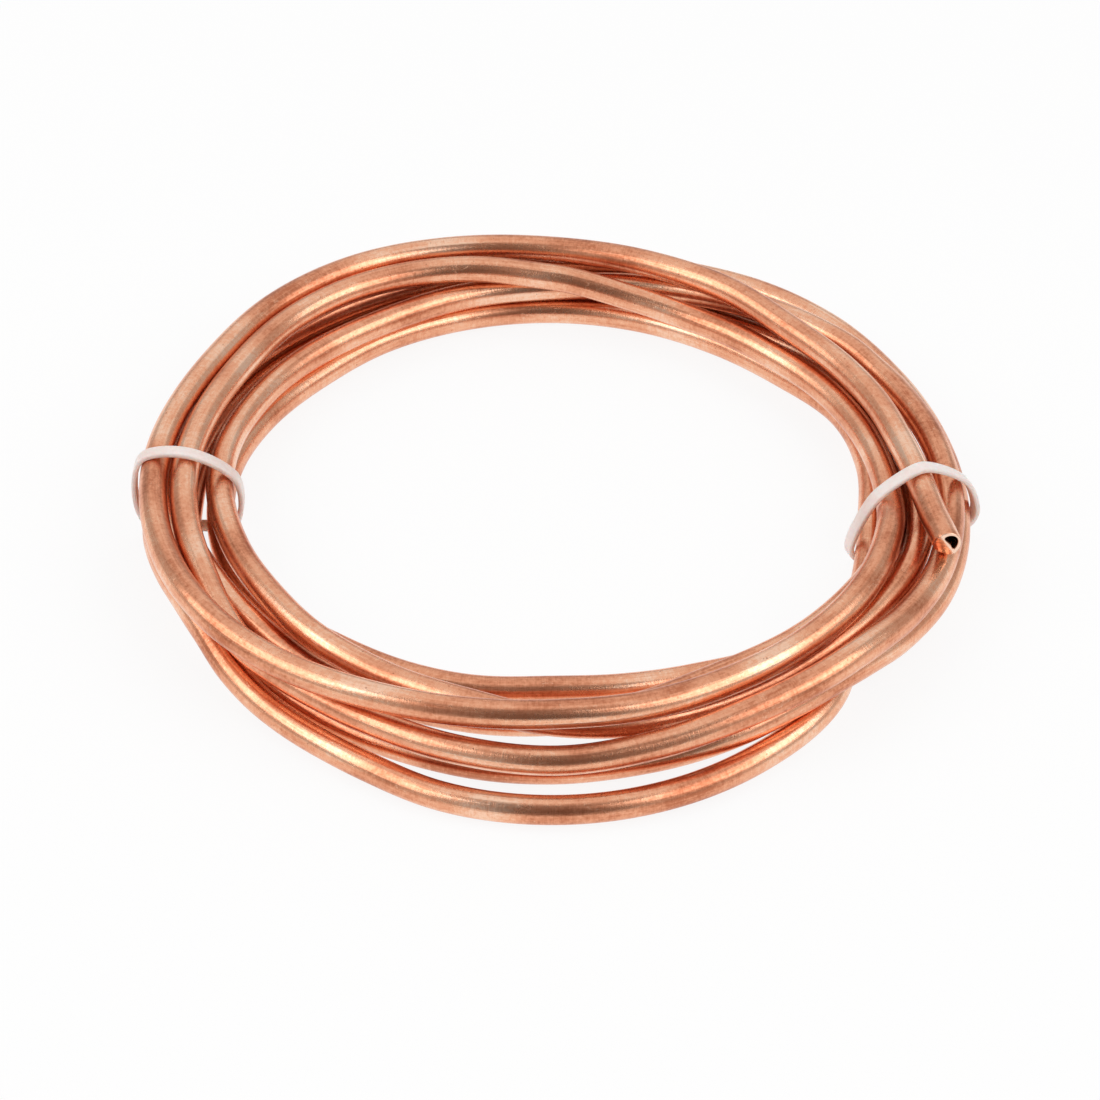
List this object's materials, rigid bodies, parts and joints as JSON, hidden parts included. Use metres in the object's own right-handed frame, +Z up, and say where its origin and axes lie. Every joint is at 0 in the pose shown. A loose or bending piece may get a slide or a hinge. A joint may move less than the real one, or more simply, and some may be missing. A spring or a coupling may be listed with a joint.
{
  "type": "copper tube coil",
  "caption": "Loose round coil of soft copper tube, wound by hand and held together by plastic ties.",
  "frame": {"origin": "on the floor, below the middle of the whole coil", "axes": "+Z up, along the axis the turns go round; +X towards the free end that lies on top, at the right; -Y towards the viewer of the picture"},
  "size_m": [0.1508, 0.1512, 0.0179],
  "materials": {
    "copper": "satin, bare annealed copper",
    "nylon": "milky, slightly see-through nylon"
  },
  "bodies": {
    "root": {"tube": "copper", "left_tie": "nylon", "right_tie": "nylon"}
  },
  "joints": []
}
